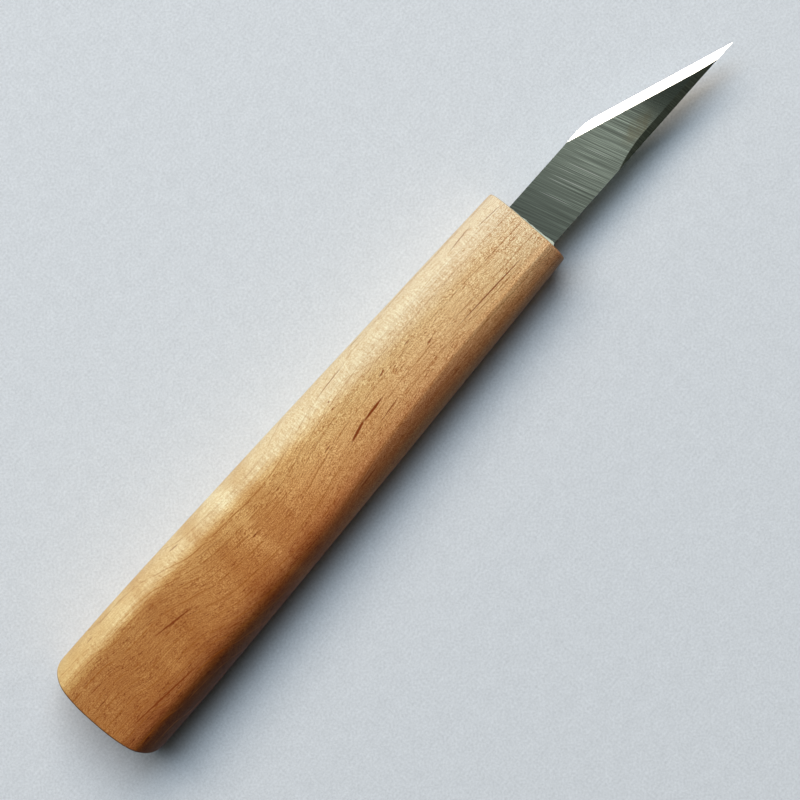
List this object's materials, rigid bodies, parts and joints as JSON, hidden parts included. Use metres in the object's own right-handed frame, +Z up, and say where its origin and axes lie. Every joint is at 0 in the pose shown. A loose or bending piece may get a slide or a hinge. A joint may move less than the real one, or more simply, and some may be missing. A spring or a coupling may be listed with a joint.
{
  "type": "peg shaving knife",
  "caption": "Hand knife for shaving pegs: straight-backed skew blade with a bevelled edge and a relieved back, glued into a tapered flat wooden handle.",
  "frame": {"origin": "on the handle's flat underside, below the middle of the knife's length", "axes": "+X from the butt to the tip, +Y towards the cutting edge, -Y towards the back of the blade, +Z up out of the handle's flat upper face"},
  "size_m": [0.2, 0.0286, 0.018],
  "materials": {
    "wood": "oiled, satin",
    "steel": "ground flat across, honed bevel",
    "glue": "cured clear resin, glossy"
  },
  "bodies": {
    "root": {"handle": "wood", "blade": "steel", "glue_bed": "glue"}
  },
  "joints": []
}
